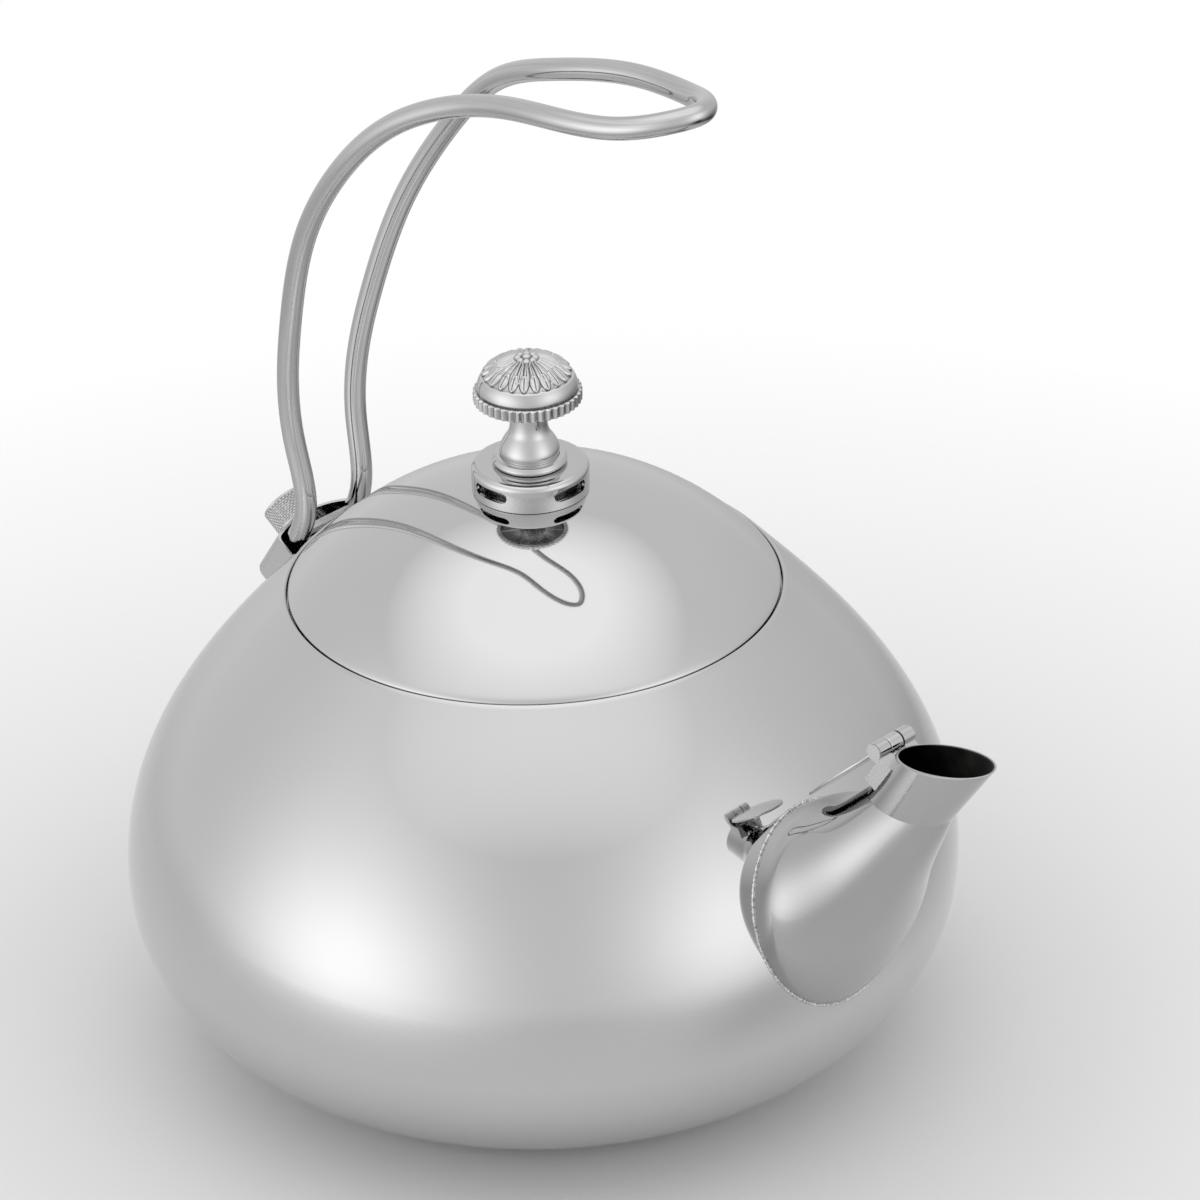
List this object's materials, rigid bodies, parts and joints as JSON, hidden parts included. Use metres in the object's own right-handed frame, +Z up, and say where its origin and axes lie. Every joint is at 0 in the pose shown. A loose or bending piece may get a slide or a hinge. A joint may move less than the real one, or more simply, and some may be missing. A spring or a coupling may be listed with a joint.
{
  "type": "stovetop whistling kettle",
  "caption": "Polished stainless steel stovetop kettle with a whistle in its lid, a bulbous spout with a hinged flap, and a bent-rod handle clamped by a thumb screw.",
  "frame": {"origin": "centre of the base, on the face the kettle stands on", "axes": "+Z up, +X towards the spout, +Y to the left of someone who looks along +X; the handle's bracket is on the -X side"},
  "size_m": [0.2665, 0.22, 0.2853],
  "materials": {
    "polished_steel": "mirror-polished stainless steel",
    "satin_steel": "fine satin stainless steel",
    "weld_steel": "ground and polished weld bead",
    "knurled_steel": "knurled stainless steel",
    "fastener_steel": "turned stainless steel",
    "core_aluminium": "pressed aluminium disc, hidden in the steel cup"
  },
  "bodies": {
    "kettle": {"body_shell": "polished_steel", "base_core": "core_aluminium", "base_cup": "satin_steel", "neck_ring": "satin_steel", "spout_bulb": "polished_steel", "spout_tip": "polished_steel", "spout_weld": "weld_steel", "hinge_bracket": "satin_steel", "hinge_pin": "fastener_steel", "handle_bracket": "polished_steel", "bracket_pad": "satin_steel", "clamp_nut": "fastener_steel"},
    "lid": {"lid_dome": "polished_steel", "lid_skirt": "satin_steel", "whistle_cage": "satin_steel", "whistle_ring": "satin_steel", "whistle_disc_lower": "satin_steel", "whistle_disc_upper": "satin_steel", "knob_bell": "polished_steel", "knob_cap": "polished_steel", "knob_stud": "fastener_steel", "knob_nut": "fastener_steel"},
    "flap": {"spout_flap": "polished_steel"},
    "handle": {"handle_rod": "polished_steel", "handle_tongue": "satin_steel"},
    "thumb": {"thumb_screw": "fastener_steel", "thumb_knob": "knurled_steel"}
  },
  "joints": [
    {"name": "lid_lift", "type": "slide", "parent": "kettle", "child": "lid", "axis": [0, 0, 1], "range_m": [0, 0.06]},
    {"name": "flap_swing", "type": "hinge", "parent": "kettle", "child": "flap", "pos_m": [0.12378, 0, 0.13137], "axis": [0, 1, 0], "range_deg": [0, 214.4]},
    {"name": "handle_slide", "type": "slide", "parent": "kettle", "child": "handle", "axis": [0.5678, 0, 0.8231], "range_m": [0, 0.016]},
    {"name": "thumb_turn", "type": "hinge", "parent": "kettle", "child": "thumb", "pos_m": [-0.08246, 0, 0.11307], "axis": [-0.8231, 0, 0.5678], "range_deg": [0, 1080]}
  ]
}
